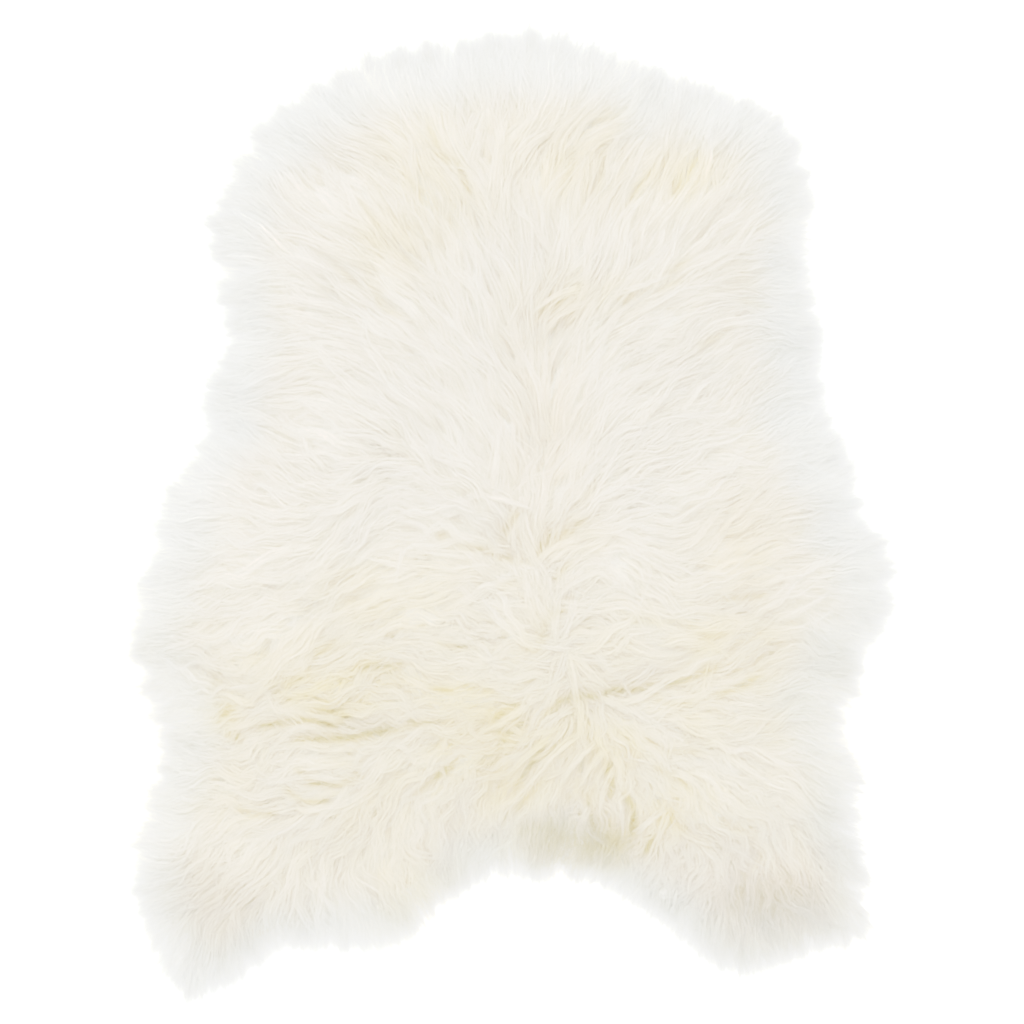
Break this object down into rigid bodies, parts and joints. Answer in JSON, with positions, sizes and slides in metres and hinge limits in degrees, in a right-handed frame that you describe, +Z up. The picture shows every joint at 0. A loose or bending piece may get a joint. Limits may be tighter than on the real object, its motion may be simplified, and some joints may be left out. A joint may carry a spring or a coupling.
{
  "type": "sheepskin rug",
  "caption": "Long-haired sheepskin rug in one pelt, with neck and hind legs, combed from the backbone, lying flat with its wool side up.",
  "frame": {"origin": "on the floor, under the middle of the rug's box", "axes": "+Z up through the fleece, +Y from the rump to the neck, +X to the right seen from above with the neck up"},
  "size_m": [0.848, 1.0742, 0.0736],
  "materials": {
    "wool": "long undyed ivory wool, fine and softly glossy, with cream zones",
    "hide": "napped suede underside of the tanned pelt, pale tan"
  },
  "bodies": {
    "root": {"sheepskin": "wool"}
  },
  "joints": []
}
